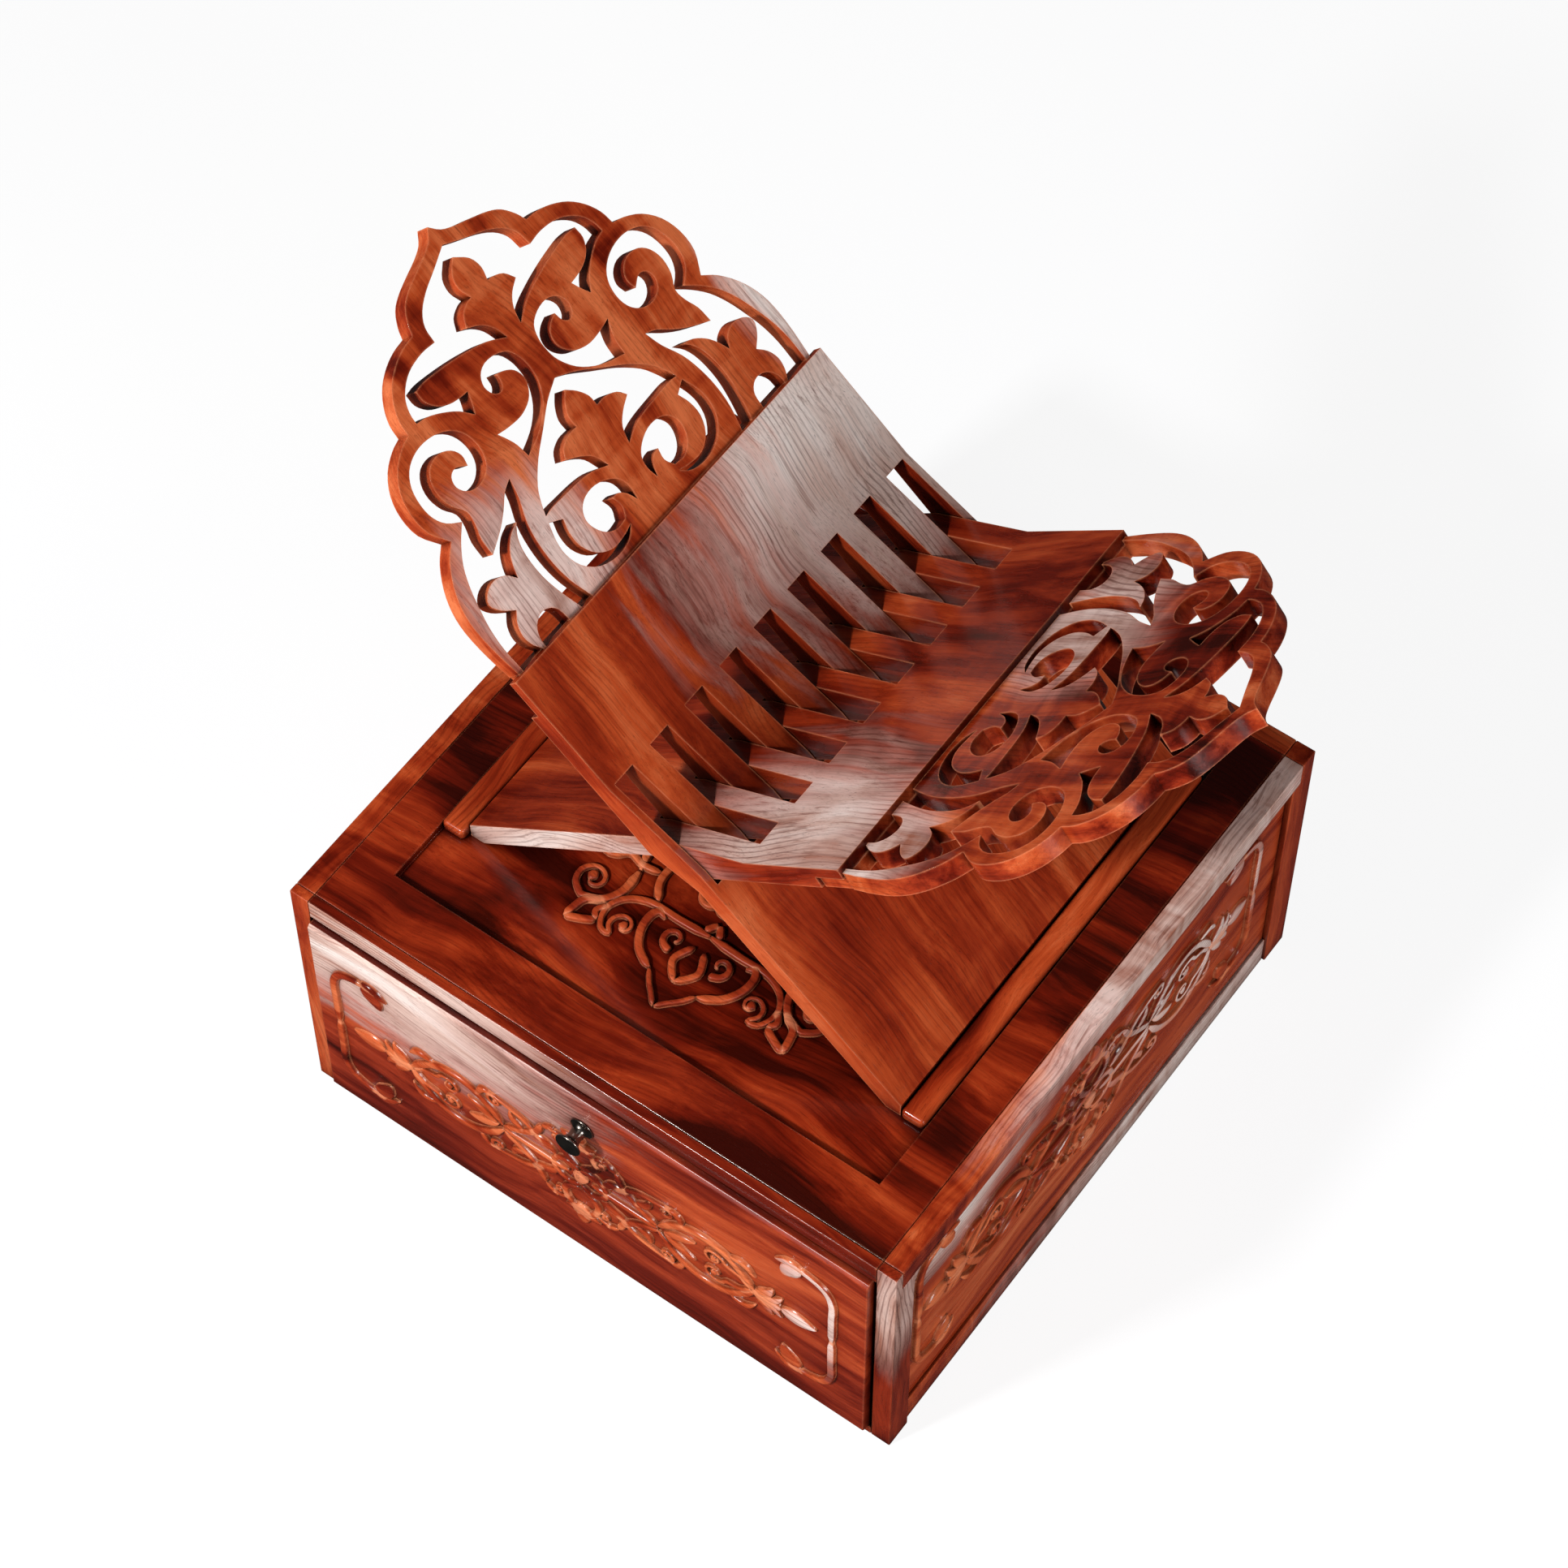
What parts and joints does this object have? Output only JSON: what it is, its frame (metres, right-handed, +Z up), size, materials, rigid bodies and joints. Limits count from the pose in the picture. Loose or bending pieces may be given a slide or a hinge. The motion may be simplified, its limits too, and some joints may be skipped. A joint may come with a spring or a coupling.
{
  "type": "quran stand",
  "caption": "Folding carved wooden book rest with interlocking leaves and fretwork crests, standing in the recessed top of a square chest with a drawer.",
  "frame": {"origin": "middle of the chest's underside, between the posts' outer faces", "axes": "+X to the right along the drawer front, +Y to the back, +Z up; the drawer pulls out along -Y"},
  "size_m": [0.4092, 0.335, 0.4096],
  "materials": {
    "frame_wood": "gloss lacquer over streaked red-brown hardwood",
    "panel_wood": "gloss lacquer over streaked red-brown hardwood",
    "leaf_wood": "gloss lacquer over streaked red-brown hardwood",
    "crest_wood": "gloss lacquer over streaked red-brown hardwood, carved",
    "inner_wood": "plain sanded hardwood inside the chest and drawer",
    "peg_wood": "dark end-grain pegs",
    "dark_metal": "dark polished metal",
    "steel": "plain steel"
  },
  "bodies": {
    "chest": {"base_board": "frame_wood", "front_left_post": "frame_wood", "front_right_post": "frame_wood", "back_left_post": "frame_wood", "back_right_post": "frame_wood", "front_top_rail": "frame_wood", "left_top_rail": "frame_wood", "right_top_rail": "frame_wood", "back_top_rail": "frame_wood", "left_bottom_rail": "frame_wood", "right_bottom_rail": "frame_wood", "back_bottom_rail": "frame_wood", "left_side_panel": "panel_wood", "right_side_panel": "panel_wood", "back_panel": "panel_wood", "left_bearer": "inner_wood", "right_bearer": "inner_wood", "top_board": "panel_wood", "left_cleat": "frame_wood", "right_cleat": "frame_wood", "drawer_stops": "inner_wood"},
    "drawer": {"drawer_front": "panel_wood", "drawer_left_side": "inner_wood", "drawer_right_side": "inner_wood", "drawer_back": "inner_wood", "drawer_bottom": "inner_wood", "knob": "dark_metal", "knob_screw": "steel"},
    "hinge": {"hinge_rod": "steel"},
    "left_half": {"left_leaf": "leaf_wood", "left_crest": "crest_wood", "left_crest_pegs": "peg_wood"},
    "right_half": {"right_leaf": "leaf_wood", "right_crest": "crest_wood", "right_crest_pegs": "peg_wood"}
  },
  "joints": [
    {"name": "drawer_slide", "type": "slide", "parent": "chest", "child": "drawer", "axis": [0, -1, 0], "range_m": [0, 0.22]},
    {"name": "fold", "type": "hinge", "parent": "hinge", "child": "left_half", "pos_m": [0, 0.0115, 0.2467], "axis": [0, 1, 0], "range_deg": [0, 49.5]},
    {"name": "right_fold", "type": "hinge", "parent": "hinge", "child": "right_half", "pos_m": [0, 0.0115, 0.2467], "axis": [0, -1, 0], "range_deg": [0, 49.6]},
    {"name": "stand_lift", "type": "slide", "parent": "chest", "child": "hinge", "axis": [0, 0, 1], "range_m": [0, 0.103]}
  ],
  "couplings": [
    {"joint": "right_fold", "follows": "fold", "ratio": 1},
    {"joint": "stand_lift", "follows": "fold", "m_per_rad": 0.118}
  ]
}
